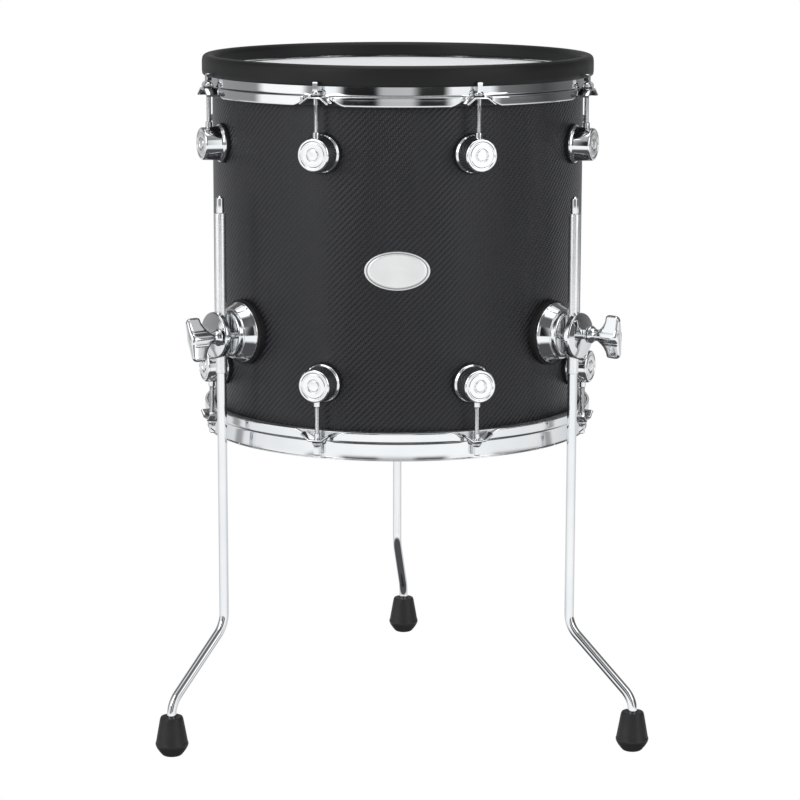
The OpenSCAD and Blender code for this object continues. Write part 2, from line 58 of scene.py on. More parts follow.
def mm_box(node):
    """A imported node's box in millimetres."""
    low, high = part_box(node)
    return low / MM, high / MM


shell_low, shell_high = mm_box("shell")
AXIS_X = (shell_low.x + shell_high.x) / 2
AXIS_Y = (shell_low.y + shell_high.y) / 2
EDGE = shell_high.z
MID = (shell_low.z + shell_high.z) / 2
wrap_low, wrap_high = mm_box("shell_wrap")
SHELL_R = (wrap_high.x - wrap_low.x) / 2
WRAP_TOP = wrap_high.z
cover_low, cover_high = mm_box("rim_cover")
COVER_R = (cover_high.x - cover_low.x) / 2
COVER_TOP = cover_high.z
lug_low, lug_high = mm_box("top_lugs")
LUG_Z = (lug_low.z + lug_high.z) / 2
bracket_low, bracket_high = mm_box("leg_brackets")
BRACKET_Z = (bracket_low.z + bracket_high.z) / 2

# lugs and rods, round the drum and outwards from its axis
LUG_STEP = 45
LUGS = [22.5 + LUG_STEP * i for i in range(8)]
LUG_SEAT = SHELL_R + 1.8
LUG_H = 19.8
ROD_R = 191.0

# hoops: radii of the wall, the skirt and the ears' fronts, and heights from the shell's edge
WALL_R = SHELL_R + 7.1
SKIRT_R = SHELL_R + 10.2
EAR_R = 197.5
EAR_DROP = 12.4
SKIRT_DROP = 21.7
LIP = 4.6
SHEET = 2.3

# heads: the ring under the hoop's shoulder, and how much of the sheet is turned down into it
RING_TOP = EDGE - EAR_DROP - SHEET - 0.3
RING_H = 6.4
RING_GAP = 0.6

SIDES = ("left", "right", "rear")

# leg clamps: radii from the drum's axis, the clamp's own radius, and what stands beside its middle
BRACKET_SEAT = SHELL_R + 3.6
BRACKET_BASE_R = 193.6
BRACKET_FACE_R = 198.3
CAP_R = 206.9
CAP_RIM_R = 213.4
CAP_TOP_R = 215.8
KNOB_R = 216.1
KNOB_END_R = 247.5
CLAMP_R = 21.5
STUD_SIDE = 13
PIN_SIDE = -15
WING_TURN = {"left": 18, "right": 4, "rear": 0}

# legs: radii of the bent rod, of the sleeve's bore and outside, and of the groove in the cap
LEG_ROD_R = 4.5
SLEEVE_BORE_R = 4.58
SLEEVE_R = 5.4
LEG_GROOVE_R = 5.72

# corners sharper than this many degrees stay crisp on turned chrome
TURNED_SHARP = 28


def leg_facts(side):
    """Angle round the drum and radius of a leg's upright part, and where its foot stands."""
    low, high = mm_box(side + "_leg_sleeve")
    x = (low.x + high.x) / 2 - AXIS_X
    y = (low.y + high.y) / 2 - AXIS_Y
    foot_low, foot_high = mm_box(side + "_foot")
    fx = (foot_low.x + foot_high.x) / 2 - AXIS_X - x
    fy = (foot_low.y + foot_high.y) / 2 - AXIS_Y - y
    return {
        "az": math.degrees(math.atan2(x, -y)),
        "r": math.hypot(x, y),
        "foot_az": math.degrees(math.atan2(fx, -fy)),
        "offset": math.hypot(fx, fy),
        "foot_h": foot_high.z,
        "sleeve": (low.z, high.z),
        "top": mm_box(side + "_leg_rod")[1].z,
    }


LEG = {side: leg_facts(side) for side in SIDES}

# ---- matrices: every shape is made in millimetres in the drum's own frame ----

DRUM = Matrix.Translation((AXIS_X * MM, AXIS_Y * MM, 0)) @ Matrix.Scale(MM, 4)
FLIP = Matrix.Translation((0, 0, 2 * MID)) @ Matrix.Diagonal((1, 1, -1, 1))


def at_angle(az, z=0.0):
    """Local +X points outwards at an angle round the drum, +Y runs round it, +Z is up."""
    return Matrix.Translation((0, 0, z)) @ Matrix.Rotation(math.radians(az - 90), 4, "Z")


def outward(r, side=0.0):
    """Turns a shape made round Z so that its +Z points outwards."""
    return Matrix.Translation((r, side, 0)) @ Matrix.Rotation(math.radians(90), 4, "Y")


# ---- shapes ----

ON_AXIS = 1e-6


def rounded(points, cut=0.4, steps=3, closed=True):
    """A profile with its corners rounded. A point's third number is its own corner cut."""
    out = []
    n = len(points)
    for i, p in enumerate(points):
        here = Vector(p[:2])
        size = p[2] if len(p) > 2 else cut
        if size <= 0 or (not closed and i in (0, n - 1)) or p[0] <= ON_AXIS:
            out.append((here.x, here.y))
            continue
        a = Vector(points[i - 1][:2]) - here
        b = Vector(points[(i + 1) % n][:2]) - here
        start = here + a.normalized() * min(size, 0.45 * a.length)
        end = here + b.normalized() * min(size, 0.45 * b.length)
        for k in range(steps + 1):
            t = k / steps
            q = start * (1 - t) ** 2 + here * (2 * t * (1 - t)) + end * t * t
            out.append((q.x, q.y))
    return out


class Shape:
    """Gathers the surfaces of one piece."""

    def __init__(self):
        self.verts = []
        self.faces = []

    def add(self, verts, faces, m=None):
        base = len(self.verts)
        self.verts += [tuple(m @ Vector(v)) if m else tuple(v) for v in verts]
        self.faces += [tuple(base + i for i in f) for f in faces]
        return self

    def lathe(self, profile, m=None, n=64, closed=False, phase=0.0):
        """Turns (radius, height) points round Z. Points on the axis become single points."""
        verts, rows = [], []
        for r, z in profile:
            if r <= ON_AXIS:
                rows.append([len(verts)])
                verts.append((0, 0, z))
                continue
            rows.append(list(range(len(verts), len(verts) + n)))
            for k in range(n):
                a = 2 * math.pi * k / n + phase
                verts.append((r * math.cos(a), r * math.sin(a), z))
        pairs = list(zip(rows, rows[1:]))
        if closed:
            pairs.append((rows[-1], rows[0]))
        faces = []
        for low, high in pairs:
            for k in range(n):
                j = (k + 1) % n
                if len(low) == 1 and len(high) == 1:
                    continue
                if len(low) == 1:
                    faces.append((low[0], high[j], high[k]))
                elif len(high) == 1:
                    faces.append((low[k], low[j], high[0]))
                else:
                    faces.append((low[k], low[j], high[j], high[k]))
        return self.add(verts, faces, m)

    def sweep(self, rings, m=None, closed_path=False):
        """Joins equal rings of points into a closed skin, with flat ends if the path is open."""
        n = len(rings[0])
        verts = [v for ring in rings for v in ring]
        faces = []
        spans = len(rings) if closed_path else len(rings) - 1
        for i in range(spans):
            a, b = i * n, ((i + 1) % len(rings)) * n
            for k in range(n):
                j = (k + 1) % n
                faces.append((a + k, a + j, b + j, b + k))
        if not closed_path:
            faces.append(tuple(reversed(range(n))))
            faces.append(tuple((len(rings) - 1) * n + k for k in range(n)))
        return self.add(verts, faces, m)

    def mesh(self, name):
        """The gathered surfaces in metres, with their normals outwards."""
        mesh = bpy.data.meshes.new(name)
        mesh.from_pydata([tuple(DRUM @ Vector(v)) for v in self.verts], [], self.faces)
        mesh.validate()
        bm = bmesh.new()
        bm.from_mesh(mesh)
        bmesh.ops.recalc_face_normals(bm, faces=bm.faces)
        bm.to_mesh(mesh)
        bm.free()
        return mesh

    def piece(self, name, nodes, material, sharp=32):
        mesh = self.mesh(name)
        mesh.shade_smooth()
        mesh.set_sharp_from_angle(angle=math.radians(sharp))
        mesh.materials.append(material)
        obj = bpy.data.objects.new(name, mesh)
        bpy.context.scene.collection.objects.link(obj)
        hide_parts(*nodes)
        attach(obj, BODY_OF[nodes[0]])
        return obj


# ---- materials ----


def math_node(tree, op, values):
    """A maths node's result. Each value is a number or another node's output."""
    node = tree.nodes.new("ShaderNodeMath")
    node.operation = op
    for socket, value in zip(node.inputs, values):
        if isinstance(value, (int, float)):
            socket.default_value = value
        else:
            tree.links.new(value, socket)
    return node.outputs[0]


class Look:
    """One procedural material: a Principled surface with its detail from nodes."""

    def __init__(self, name, color, metallic, roughness, **sockets):
        self.mat = bpy.data.materials.new(name)
        self.mat.use_nodes = True
        self.tree = self.mat.node_tree
        self.tree.nodes.clear()
        self.out = self.tree.nodes.new("ShaderNodeOutputMaterial")
        self.bsdf = self.tree.nodes.new("ShaderNodeBsdfPrincipled")
        self.link(self.bsdf.outputs[0], self.out.inputs[0])
        self.bsdf.inputs["Base Color"].default_value = (*color, 1)
        self.bsdf.inputs["Metallic"].default_value = metallic
        self.bsdf.inputs["Roughness"].default_value = roughness
        for key, value in sockets.items():
            self.bsdf.inputs[key.replace("_", " ")].default_value = value
        coords = self.tree.nodes.new("ShaderNodeTexCoord")
        self.place = coords.outputs["Object"]
        split = self.tree.nodes.new("ShaderNodeSeparateXYZ")
        self.link(self.place, split.inputs[0])
        self.x, self.y, self.z = split.outputs

    def link(self, a, b):
        self.tree.links.new(a, b)

    def math(self, op, a, b=0.0, c=0.0):
        return math_node(self.tree, op, (a, b, c))

    def noise(self, scale, detail=3.0, stretch=(1, 1, 1)):
        scaled = self.tree.nodes.new("ShaderNodeMapping")
        scaled.inputs["Scale"].default_value = stretch
        self.link(self.place, scaled.inputs["Vector"])
        node = self.tree.nodes.new("ShaderNodeTexNoise")
        node.inputs["Scale"].default_value = scale
        node.inputs["Detail"].default_value = detail
        self.link(scaled.outputs[0], node.inputs["Vector"])
        return node.outputs[0]

    def ramp(self, value, low, high, start=0.3, end=0.7):
        """Spreads a 0 to 1 value over low to high."""
        node = self.tree.nodes.new("ShaderNodeMapRange")
        self.link(value, node.inputs["Value"])
        node.inputs["From Min"].default_value = start
        node.inputs["From Max"].default_value = end
        node.inputs["To Min"].default_value = low
        node.inputs["To Max"].default_value = high
        return node.outputs[0]

    def colors(self, value, low, high, start=0.3, end=0.7):
        """Spreads a 0 to 1 value over two colours of the surface."""
        node = self.tree.nodes.new("ShaderNodeValToRGB")
        node.color_ramp.elements[0].position = start
        node.color_ramp.elements[0].color = (*low, 1)
        node.color_ramp.elements[1].position = end
        node.color_ramp.elements[1].color = (*high, 1)
        self.link(value, node.inputs[0])
        self.link(node.outputs[0], self.bsdf.inputs["Base Color"])

    def rough(self, value, low, high, start=0.3, end=0.7):
        self.link(self.ramp(value, low, high, start, end), self.bsdf.inputs["Roughness"])

    def bump(self, *layers):
        """Stacks (height, distance in metres, strength) layers."""
        last = None
        for height, distance, strength in layers:
            node = self.tree.nodes.new("ShaderNodeBump")
            node.inputs["Distance"].default_value = distance
            node.inputs["Strength"].default_value = strength
            self.link(height, node.inputs["Height"])
            if last is not None:
                self.link(last, node.inputs["Normal"])
            last = node.outputs[0]
        self.link(last, self.bsdf.inputs["Normal"])

    def angle(self, cx, cy):
        """The angle round an upright axis, in turns."""
        dx = self.math("SUBTRACT", self.x, cx)
        dy = self.math("SUBTRACT", self.y, cy)
        return self.math("DIVIDE", self.math("ARCTAN2", dy, dx), 2 * math.pi)


def simple(name, color, metallic, low, high, grain=900.0, depth=0.00002, blotch=14.0, tint=0.12, **more):
    """A plain finish with uneven colour and roughness and a fine grain."""
    look = Look(name, color, metallic, low, **more)
    cloud = look.noise(blotch, 4)
    dark = tuple(c * (1 - tint) for c in color)
    light = tuple(min(1, c * (1 + tint)) for c in color)
    look.colors(cloud, dark, light)
    look.rough(look.noise(blotch * 2.3, 5), low, high)
    look.bump((look.noise(grain, 2), depth, 0.5))
    return look.mat


def make_chrome():
    """Bright plating, very slightly uneven."""
    look = Look("chrome_plate", (0.78, 0.79, 0.8), 1.0, 0.05)
    look.colors(look.noise(22, 3), (0.75, 0.765, 0.785), (0.82, 0.825, 0.83))
    look.rough(look.noise(60, 6), 0.035, 0.085)
    look.bump((look.noise(70, 2), 0.00002, 0.25))
    return look.mat


def make_wrap():
    """Embossed twill: diagonal ribs, broken by narrow tows on a black plastic, with painted sheen: the ribs
    fade in uneven upright bands, and their colour is lighter on the crowns of the ribs and tows, a painted
    highlight.
    """
    look = Look("twill_wrap", (0.03, 0.03, 0.034), 0.0, 0.42, Specular_IOR_Level=0.5)
    tows = 784
    pitch = 2 * math.pi * SHELL_R * MM / tows
    u = look.math("MULTIPLY", look.angle(AXIS_X * MM, AXIS_Y * MM), tows)
    v = look.math("DIVIDE", look.z, pitch)
    fu = look.math("FRACT", u)
    fv = look.math("FRACT", v)
    iu = look.math("FLOOR", u)
    iv = look.math("FLOOR", v)
    step = look.math("FLOORED_MODULO", look.math("SUBTRACT", iu, iv), 4)
    over = look.math("LESS_THAN", step, 1.5)
    upright = look.math("SINE", look.math("MULTIPLY", fu, math.pi))
    level = look.math("SINE", look.math("MULTIPLY", fv, math.pi))
    tow = look.math("ADD", look.math("MULTIPLY", upright, over),
                    look.math("MULTIPLY", level, look.math("SUBTRACT", 1.0, over)))
    wave = look.math("SINE", look.math("MULTIPLY", look.math("SUBTRACT", u, v), math.pi / 2))
    # painted sheen: broad upright bands that fade the ribs, in their bump and in their colour
    sheen_bands = look.ramp(look.noise(11, 2, (1, 1, 0.22)), 0.16, 1.0, 0.4, 0.6)
    rib = look.math("MULTIPLY", look.math("MULTIPLY_ADD", wave, 0.5, 0.5), sheen_bands)
    painted_rib_light = look.math("MULTIPLY", rib, look.math("MULTIPLY_ADD", tow, 0.7, 0.3))
    grain = look.noise(2600, 2)
    # painted highlight: the colour is lighter on the crowns of the ribs and tows and in the sheen bands
    look.colors(painted_rib_light, (0.005, 0.005, 0.0085), (0.0155, 0.0155, 0.02), 0.05, 0.9)
    look.rough(look.math("MULTIPLY_ADD", look.noise(35, 4), 0.5, look.math("MULTIPLY", tow, 0.35)),
               0.25, 0.35, 0.2, 0.7)
    look.bump((rib, 0.0004, 0.85), (tow, 0.0002, 0.7), (grain, 0.00002, 0.3))
    return look.mat


def make_knurl(side):
    """Fine crossed knurling on satin plated steel."""
    leg = LEG[side]
    a = math.radians(leg["az"])
    cx = (AXIS_X + leg["r"] * math.sin(a)) * MM
    cy = (AXIS_Y - leg["r"] * math.cos(a)) * MM
    look = Look("knurled_steel_" + side, (0.62, 0.63, 0.64), 1.0, 0.4)
    ridges = 36
    pitch = 0.00095
    turn = look.math("MULTIPLY", look.angle(cx, cy), ridges)
    rise = look.math("DIVIDE", look.z, pitch)
    one = look.math("PINGPONG", look.math("ADD", turn, rise), 0.5)
    two = look.math("PINGPONG", look.math("SUBTRACT", turn, rise), 0.5)
    diamond = look.math("ADD", one, two)
    look.colors(look.noise(60, 4), (0.84, 0.85, 0.86), (0.92, 0.925, 0.93))
    look.rough(diamond, 0.34, 0.2, 0.2, 0.9)
    look.bump((diamond, 0.0001, 0.35))
    return look.mat


def make_mesh_head():
    """A fine white weave of crossed threads."""
    look = Look("woven_mesh", (0.93, 0.93, 0.93), 0.0, 0.6, Sheen_Weight=0.15)
    thread_pitch = 0.00055
    threads = 2 * math.pi / thread_pitch
    one = look.math("SINE", look.math("MULTIPLY", look.x, threads))
    two = look.math("SINE", look.math("MULTIPLY", look.y, threads))
    weave = look.math("MULTIPLY_ADD", look.math("MULTIPLY", one, two), 0.5, 0.5)
    look.colors(weave, (0.6, 0.61, 0.62), (0.7, 0.705, 0.71))
    look.rough(look.noise(120, 3), 0.5, 0.7)
    look.bump((weave, 0.0001, 0.5))
    return look.mat


def make_badge():
    """Satin metal, faintly brushed."""
    look = Look("badge_satin", (0.72, 0.725, 0.73), 0.55, 0.34)
    brushed = look.noise(300, 3, (0.15, 1, 14))
    look.colors(look.noise(40, 3), (0.8, 0.81, 0.81), (0.86, 0.865, 0.865))
    look.rough(brushed, 0.3, 0.38)
    look.bump((brushed, 0.00001, 0.12))
    return look.mat


def make_lug_face():
    """Chrome that reflects more softly, for the turned faces of the lugs."""
    look = Look("turned_chrome", (0.88, 0.885, 0.89), 1.0, 0.2)
    look.colors(look.noise(50, 3), (0.93, 0.935, 0.94), (0.97, 0.97, 0.975))
    look.rough(look.noise(90, 4), 0.26, 0.32)
    look.bump((look.noise(60, 2), 0.00001, 0.15))
    return look.mat


def make_wood():
    """Birch ply with level streaks."""
    look = Look("birch_ply", (0.55, 0.38, 0.22), 0.0, 0.4)
    grain = look.noise(9, 8, (1, 1, 22))
    look.colors(grain, (0.42, 0.27, 0.14), (0.66, 0.48, 0.29))
    look.rough(grain, 0.32, 0.5)
    look.bump((grain, 0.0001, 0.3))
    return look.mat


MAT = {
    "chrome": make_chrome(),
    "shell_wood": make_wood(),
    "wrap": make_wrap(),
    "badge": make_badge(),
    # painted shade: a darker grey for the walls and floor of the badge's groove
    "groove_shade": simple("groove_shade", (0.34, 0.345, 0.35), 0.5, 0.35, 0.5, 900, 0.00001),
    # painted shade: black for the upper head ring, aluminium like the lower one, standing for the shade seen
    # through the notches behind the hoop's ears
    "notch_shade_black": simple("notch_shade_black", (0.02, 0.02, 0.021), 0.3, 0.3, 0.44, 700, 0.00001),
    "turned": make_lug_face(),
    "head_mesh": make_mesh_head(),
    "rim_rubber": simple(
        "rim_rubber", (0.0042, 0.0042, 0.005), 0.0, 0.42, 0.55, 1500, 0.00004, 9, 0.2, Specular_IOR_Level=0.35
    ),
    "head_film": simple("black_film", (0.02, 0.02, 0.022), 0.0, 0.16, 0.28, 300, 0.00001),
    "aluminium": simple("mill_aluminium", (0.72, 0.73, 0.74), 1.0, 0.28, 0.42, 700, 0.00002),
    "gasket": simple(
        "gasket_rubber", (0.009, 0.009, 0.01), 0.0, 0.5, 0.66, 1400, 0.00003, Specular_IOR_Level=0.3
    ),
    "nylon": simple("black_nylon", (0.02, 0.02, 0.02), 0.0, 0.38, 0.5, 900, 0.00001),
    "foot_rubber": simple(
        "foot_rubber", (0.012, 0.012, 0.013), 0.0, 0.4, 0.58, 1300, 0.00005, 30, 0.25, Specular_IOR_Level=0.4
    ),
    "zinc_steel": simple("zinc_steel", (0.66, 0.67, 0.68), 1.0, 0.22, 0.36, 800, 0.00001),
    "sensor_brass": simple("sensor_brass", (0.76, 0.6, 0.28), 1.0, 0.25, 0.4, 800, 0.00001),
    "foam": simple("dense_foam", (0.1, 0.1, 0.105), 0.0, 0.8, 0.95, 600, 0.0004, 40, 0.3),
    "jack_plastic": simple("jack_plastic", (0.025, 0.025, 0.026), 0.0, 0.38, 0.52, 1200, 0.00005),
    "jack_metal": simple("nickel_plate", (0.68, 0.67, 0.64), 1.0, 0.18, 0.3, 800, 0.00001),
    "cable_sheath": simple("cable_sheath", (0.02, 0.02, 0.021), 0.0, 0.4, 0.55, 900, 0.00002),
}
for one_side in SIDES:
    MAT["knurl_" + one_side] = make_knurl(one_side)

for node_name, node_obj in NODES.items():
    slot_name = SLOT_OF[node_name]
    if slot_name == "knurled_steel":
        slot_name = "knurl_" + node_name.split("_")[0]
    for material_slot in node_obj.material_slots:
        material_slot.material = MAT[slot_name]

# ---- wrap and badge ----


def wrap_piece():
    low = 2 * MID - WRAP_TOP
    inside = SHELL_R - 0.5
    profile = rounded([(inside, low), (SHELL_R, low), (SHELL_R, WRAP_TOP), (inside, WRAP_TOP)], 0.25)
    Shape().lathe(profile, n=512, closed=True).piece("wrap_skin", ["shell_wrap"], MAT["wrap"])


def badge_piece():
    """A blank oval bent round the shell, with a raised rim and a narrow groove just inside it, whose faces
    are a darker grey: painted shade.
    """
    low, high = mm_box("badge_plate")
    half_w = (high.x - low.x) / 2
    half_h = (high.z - low.z) / 2
    middle, face, back = 0.0004, 0.9, 0.06
    # shares of the half width, with heights over the wrap, from the middle of the face round to the back
    rings = [
        (middle, face), (0.4, face), (0.8, face), (0.9, face), (0.908, 0.7), (0.932, 0.7), (0.94, 1.12),
        (0.95, 1.26), (0.965, 1.3), (0.984, 1.28), (0.995, 1.1), (1.0, 0.8), (1.0, back), (0.5, back),
        (middle, back),
    ]
    shaded_groove_start, shaded_groove_end = 3, 6
    n = 128
    verts = []
    for share, rise in rings:
        for k in range(n):
            a = 2 * math.pi * k / n
            side = half_w * share * math.cos(a)
            up = half_h * share * math.sin(a)
            turn = side / SHELL_R
            r = SHELL_R + rise
            verts.append((r * math.sin(turn), -r * math.cos(turn), MID + up))
    faces = []
    count = len(rings)
    for i in range(count):
        a, b = i * n, ((i + 1) % count) * n
        for k in range(n):
            j = (k + 1) % n
            faces.append((a + k, a + j, b + j, b + k))
    obj = Shape().add(verts, faces).piece("badge", ["badge_plate"], MAT["badge"], 60)
    # painted shade: the groove's faces take the darker grey
    obj.data.materials.append(MAT["groove_shade"])
    for poly in obj.data.polygons[shaded_groove_start * n:shaded_groove_end * n]:
        poly.material_index = 1


# ---- hoops, rubber cover and heads ----


def near_lug(az):
    """Degrees to the nearest lug."""
    return abs(az % LUG_STEP - LUG_STEP / 2)


def smoothstep(a, b, x):
    t = min(1, max(0, (x - a) / (b - a)))
    return t * t * (3 - 2 * t)


def hoop_piece(name, node, flip):
    """A pressed hoop: a lip, a wall, a shoulder and a skirt that is cut back behind each ear."""
    placed = FLIP if flip else Matrix()
    cut_up, cut_in = 6.6, 2.3
    lip_low, lip_out = 3.9, WALL_R + 1
    wall_in = WALL_R - SHEET
    rings = []
    n = 720
    for k in range(n):
        az = 360 * k / n
        drop = SKIRT_DROP - cut_up * (1 - smoothstep(2.6, 8.0, near_lug(az)))
        skirt = SKIRT_R - cut_in * (1 - smoothstep(3.0, 4.8, near_lug(az)))
        skirt_in = skirt - SHEET
        profile = rounded([
            (wall_in, LIP, 0.5), (wall_in, -EAR_DROP, 1.2), (skirt_in, -EAR_DROP - SHEET, 1.0),
            (skirt_in, -drop, 0.5), (skirt, -drop, 0.9), (skirt - 0.1, -(EAR_DROP + drop) / 2, 2.0),
            (skirt, -EAR_DROP, 2.1), (WALL_R, -EAR_DROP + 0.3, 2.4),
            (WALL_R, 3.2, 0.3), (lip_out, lip_low, 0.3), (lip_out, LIP, 0.3),
        ], 0.4, 4)
        a = math.radians(az - 90)
        rings.append([(r * math.cos(a), r * math.sin(a), EDGE + z) for r, z in profile])
    shape = Shape().sweep(rings, placed, closed_path=True)
    for az in LUGS:
        ear(shape, placed @ at_angle(az, EDGE))
    shape.piece(name, [node], MAT["chrome"], 40)


def ear(shape, m):
    """A bent tab with a flat top and two sloping sides, open at its front."""
    t = 2.1
    outer = [
        (-15.2, -18.2), (-13.2, -17.0, 3.0), (-6.6, -EAR_DROP, 1.6),
        (6.6, -EAR_DROP, 1.6), (13.2, -17.0, 3.0), (15.2, -18.2),
    ]
    inner = [
        (14.2, -20.1), (12.2, -19.0, 2.6), (5.5, -EAR_DROP - t, 1.4),
        (-5.5, -EAR_DROP - t, 1.4), (-12.2, -19.0, 2.6), (-14.2, -20.1),
    ]
    loop = rounded(outer, 0.3, 4, closed=False) + rounded(inner, 0.3, 4, closed=False)
    # outwards: radii, with how far the sheet has closed towards its middle, which rounds its front edge
    steps = [(SKIRT_R - t, 0.0), (EAR_R - 2.6, 0.0), (EAR_R - 0.9, 0.1), (EAR_R - 0.25, 0.35), (EAR_R, 0.75)]
    narrowing = 0.06
    rings = []
    for r, shrink in steps:
        ring = []
        for (y, z), (other_y, other_z) in zip(loop, reversed(loop)):
            mid = Vector(((y + other_y) / 2, (z + other_z) / 2))
            q = Vector((y, z)).lerp(mid, shrink)
            taper = 1 - narrowing * smoothstep(SKIRT_R + 1, EAR_R, r) * smoothstep(6.8, 13, abs(q.x))
            ring.append((r, q.x * taper, q.y))
        rings.append(ring)
    shape.sweep(rings, m)


def cover_piece():
    """The rubber cover: a round-shouldered ring over the hoop's lip, closed round the lip's outer edge."""
    r_in = COVER_R - 12.5
    low = EDGE - 3.6
    ledge = EDGE + 2
    lip = EDGE + LIP
    over_lip = lip + 0.2
    wall = WALL_R + 0.2
    hook = WALL_R + 1.2
    inside = WALL_R - SHEET - 0.2
    profile = rounded([
        (wall, low, 0.3), (COVER_R - 0.5, low, 0.8), (COVER_R, low + 3, 1.2), (COVER_R, COVER_TOP - 6, 2.5),
        (COVER_R - 0.6, COVER_TOP - 2.2, 1.8), (COVER_R - 3.4, COVER_TOP, 2.4), (r_in + 3.6, COVER_TOP, 2.6),
        (r_in + 0.5, COVER_TOP - 3, 2.6), (r_in, EDGE + 3, 1.0), (r_in + 1, ledge, 0.5), (inside, ledge, 0.2),
        (inside, over_lip, 0.1), (hook, over_lip, 0.1), (hook, lip - 1.6, 0.1), (wall, lip - 2.4, 0.1),
    ], 0.4, 5)
    Shape().lathe(profile, n=360, closed=True).piece("rubber_cover", ["rim_cover"], MAT["rim_rubber"], 50)


def head_profile():
    """A flat skin, turned down over the shell's edge into its ring."""
    t = 0.4
    top = EDGE + t
    r = SHELL_R + 0.25
    end = RING_TOP - RING_H + 1.5
    return [
        (0, top), (60, top), (120, top), (160, top), (172, top), (r - 2.2, top),
        (r - 0.6, top - 0.1), (r + 0.15, EDGE - 0.25), (r + t, EDGE - 1.2), (r + t, end), (r, end),
        (r, EDGE - 0.9), (r - 0.5, EDGE - 0.1), (r - 2.2, EDGE), (0, EDGE),
    ]


def head_pieces():
    top = Shape().lathe(head_profile(), n=256).piece("mesh_skin", ["batter_head"], MAT["head_mesh"], 60)
    lower = Shape().lathe(head_profile(), FLIP, n=256)
    lower.piece("lower_film", ["resonant_head"], MAT["head_film"], 60)


def head_ring_pieces():
    inside = SHELL_R + 0.65
    outside = SKIRT_R - SHEET - RING_GAP
    low = RING_TOP - RING_H
    profile = rounded([(inside, low), (outside, low), (outside, RING_TOP), (inside, RING_TOP)], 0.8, 4)
    upper = Shape().lathe(profile, n=256, closed=True)
    # painted shade: the upper ring is black where the lower ring is bare aluminium
    upper.piece("mesh_skin_ring", ["batter_head_ring"], MAT["notch_shade_black"])
    lower = Shape().lathe(profile, FLIP, n=256, closed=True)
    lower.piece("lower_film_ring", ["resonant_head_ring"], MAT["aluminium"])


# ---- lugs, nuts and rods ----


def lug_pieces():
    """Round lugs with a foot flange, a tapered barrel and two turned grooves in the face."""
    h = LUG_H
    body = rounded([
        (0, 0), (18, 0, 0.2), (18, 1.5, 0.7), (16.9, 2.6, 0.7), (16.2, 3.3, 1.2), (15.3, h - 1.3, 0.5),
        (14.3, h, 0.6), (12.7, h, 0.3), (12.2, h - 0.6, 0.3), (11.2, h - 0.6, 0.3), (10.7, h - 0.2, 0.3),
        (6.4, h - 0.25, 0.3), (5.9, h - 1, 0.3), (5.1, h - 1, 0.3), (4.6, h - 0.2, 0.3), (0, h - 0.1),
    ], 0.3, 4)
    for name, node, m in (("upper_lugs", "top_lugs", Matrix()), ("lower_lugs", "bottom_lugs", FLIP)):
        shape = Shape()
        for az in LUGS:
            shape.lathe(body, m @ at_angle(az, LUG_Z) @ outward(LUG_SEAT), n=72)
        face_lugs(shape.piece(name, [node], MAT["chrome"], TURNED_SHARP))


def face_lugs(obj):
    """Gives the turned finish to the polygons that look outwards at the front of the lugs."""
    obj.data.materials.append(MAT["turned"])
    face_depth = 1.2
    front = (LUG_SEAT + LUG_H - face_depth) * MM
    centre = Vector((AXIS_X * MM, AXIS_Y * MM))
    for poly in obj.data.polygons:
        flat = Vector((poly.center.x, poly.center.y)) - centre
        along = Vector((poly.normal.x, poly.normal.y)).dot(flat.normalized())
        if flat.length > front and along > 0.9:
            poly.material_index = 1


def nut_piece():
    bore, outside = 2.38, 3.15
    low, high = LUG_Z - 6, LUG_Z + 20.1
    nut = rounded([(bore, low, 0.2), (outside, low, 0.3), (outside, high, 0.45), (bore, high, 0.2)], 0.3)
    shape = Shape()
    for m in (Matrix(), FLIP):
        for az in LUGS:
            shape.lathe(nut, m @ at_angle(az) @ Matrix.Translation((ROD_R, 0, 0)), n=32, closed=True)
    shape.piece("rod_nuts", ["swivel_nuts"], MAT["chrome"])


def rod_shape(m):
    """A tension rod: a threaded stem, a plain neck, a round collar and a square head for the key."""
    at = m @ Matrix.Translation((ROD_R, 0, 0))
    low = EDGE - 69
    thread_start, thread_end = LUG_Z + 19, EDGE - 20
    thread_r, thread_depth, pitch = 2.3, 0.36, 0.8
    neck_r = 2.6
    collar = EDGE - 9.9
    n = 14
    rings = []

    def ring(z, r, depth=0.0):
        """One level of the stem. With a depth, its radius follows the thread's helix."""
        points = []
        for k in range(n):
            a = 2 * math.pi * k / n
            wave = abs(((z / pitch + k / n) % 1) * 2 - 1)
            at_k = r - depth * wave
            points.append((at_k * math.cos(a), at_k * math.sin(a), z))
        rings.append(points)

    ring(low, 1.6)
    ring(low + 0.8, 2.2)
    ring(thread_start - 0.5, 2.2)
    z = thread_start
    while z < thread_end - 0.1:
        ring(z, thread_r, thread_depth)
        z += pitch / 5
    ring(thread_end, 2.0)
    ring(thread_end + 0.5, neck_r)
    ring(collar, neck_r)
    shape = Shape().sweep(rings, at)
    shape.lathe(rounded([
        (0, collar), (4.2, collar, 0.3), (4.2, collar + 0.7, 0.3), (3.5, collar + 1.9, 0.6),
        (2.5, collar + 2.6, 0.3), (0, collar + 2.6),
    ], 0.3, 4), at, n=40)
    top = EDGE + 0.7
    key = 4.8 / math.sqrt(2)
    head = [(0, collar + 1), (key, collar + 1), (key, top - 0.7, 0.5), (key - 0.9, top, 0.4), (0, top)]
    shape.lathe(rounded(head, 0.3, 3), at, n=4, phase=math.pi / 4)
    return shape


def rod_pieces():
    for end, m in (("top", Matrix()), ("bottom", FLIP)):
        for i, az in enumerate(LUGS):
            node = f"{end}_rod_{i + 1}"
            rod_shape(m @ at_angle(az)).piece("tension_" + node, [node], MAT["chrome"], 35)


# ---- leg clamps ----


